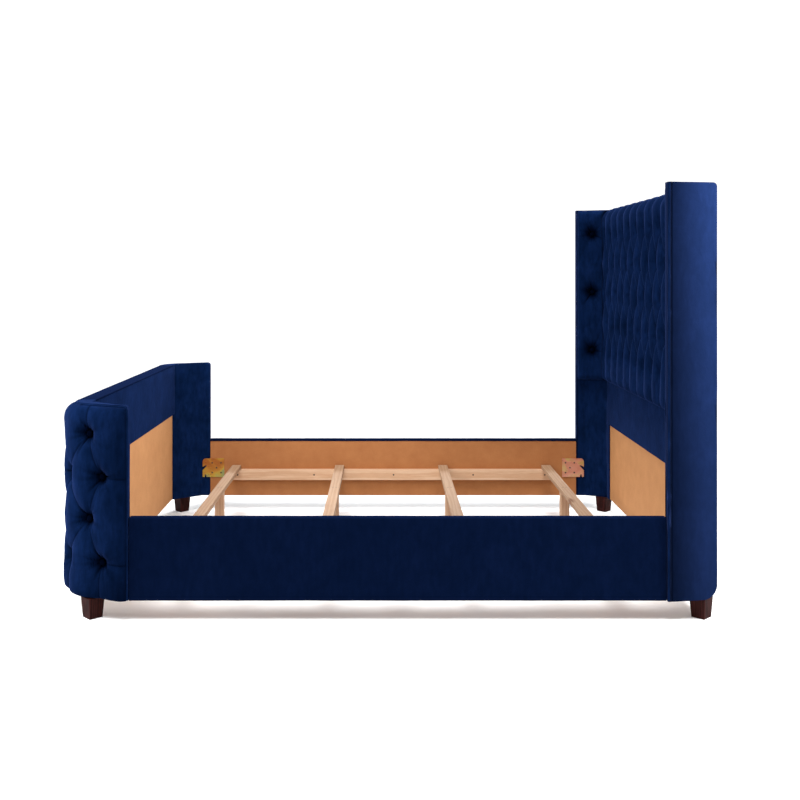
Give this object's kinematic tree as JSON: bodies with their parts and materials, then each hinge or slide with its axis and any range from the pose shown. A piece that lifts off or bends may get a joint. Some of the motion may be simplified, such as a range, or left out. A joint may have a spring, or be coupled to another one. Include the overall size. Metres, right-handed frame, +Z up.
{
  "type": "wingback bed",
  "caption": "Knock-down wingback bed with a button-tufted headboard and footboard, hooked side rails, slats on legs and tapered feet.",
  "frame": {"origin": "on the floor under the middle of the bed", "axes": "+Y towards the headboard, +X towards the right-hand rail, +Z up"},
  "size_m": [1.65, 2.23, 1.472],
  "materials": {
    "tufted_velvet": "navy velvet, soft sheen",
    "plain_velvet": "navy velvet, soft sheen",
    "button_velvet": "navy velvet over a button",
    "piping_velvet": "navy velvet over a cord",
    "back_cloth": "plain dark cloth",
    "tan_board": "bare fibreboard, matt",
    "frame_wood": "rough sawn, matt",
    "pine": "planed pine, matt",
    "dark_wood": "espresso stain, satin",
    "zinc_plate": "yellow zinc plating, iridescent",
    "screw_steel": "zinc plated"
  },
  "bodies": {
    "bed_frame": {"foot_back_left": "dark_wood", "foot_back_right": "dark_wood", "foot_bolts": "screw_steel", "foot_front_left": "dark_wood", "foot_front_right": "dark_wood", "footboard_board": "tan_board", "footboard_buttons": "button_velvet", "footboard_corner_pad_left": "tufted_velvet", "footboard_corner_pad_right": "tufted_velvet", "footboard_crossrails": "frame_wood", "footboard_front_pad": "tufted_velvet", "footboard_inner_cover": "plain_velvet", "footboard_piping": "piping_velvet", "footboard_stiles": "frame_wood", "footboard_top_band": "plain_velvet", "footboard_wing_cover_left": "plain_velvet", "footboard_wing_cover_right": "plain_velvet", "footboard_wing_frame_left": "frame_wood", "footboard_wing_frame_right": "frame_wood", "headboard_back_cover": "back_cloth", "headboard_board": "tan_board", "headboard_buttons": "button_velvet", "headboard_crossrails": "frame_wood", "headboard_lower_cover": "plain_velvet", "headboard_stiles": "frame_wood", "headboard_tufted_pad": "tufted_velvet", "hook_pins": "screw_steel", "hook_plate_screws": "screw_steel", "hook_plates_foot_end": "zinc_plate", "hook_plates_head_end": "zinc_plate", "ledger_screws": "screw_steel", "rail_board_left": "tan_board", "rail_board_right": "tan_board", "rail_cover_left": "plain_velvet", "rail_cover_right": "plain_velvet", "rail_ledger_left": "pine", "rail_ledger_right": "pine", "wing_bolts": "screw_steel", "wing_buttons": "button_velvet", "wing_frame_left": "frame_wood", "wing_frame_right": "frame_wood", "wing_inner_cover_left": "plain_velvet", "wing_inner_cover_right": "plain_velvet", "wing_outer_cover_left": "plain_velvet", "wing_outer_cover_right": "plain_velvet", "wing_piping": "piping_velvet", "wing_tufted_pad_left": "tufted_velvet", "wing_tufted_pad_right": "tufted_velvet"},
    "slat_1": {"slat_1": "pine", "slat_1_legs": "pine", "slat_1_screws": "screw_steel"},
    "slat_2": {"slat_2": "pine", "slat_2_legs": "pine", "slat_2_screws": "screw_steel"},
    "slat_3": {"slat_3": "pine", "slat_3_legs": "pine", "slat_3_screws": "screw_steel"},
    "slat_4": {"slat_4": "pine", "slat_4_legs": "pine", "slat_4_screws": "screw_steel"}
  },
  "joints": [
    {"name": "slat_1_lift", "type": "slide", "parent": "bed_frame", "child": "slat_1", "axis": [0, 0, 1], "range_m": [0, 0.3]},
    {"name": "slat_2_lift", "type": "slide", "parent": "bed_frame", "child": "slat_2", "axis": [0, 0, 1], "range_m": [0, 0.3]},
    {"name": "slat_3_lift", "type": "slide", "parent": "bed_frame", "child": "slat_3", "axis": [0, 0, 1], "range_m": [0, 0.3]},
    {"name": "slat_4_lift", "type": "slide", "parent": "bed_frame", "child": "slat_4", "axis": [0, 0, 1], "range_m": [0, 0.3]}
  ]
}
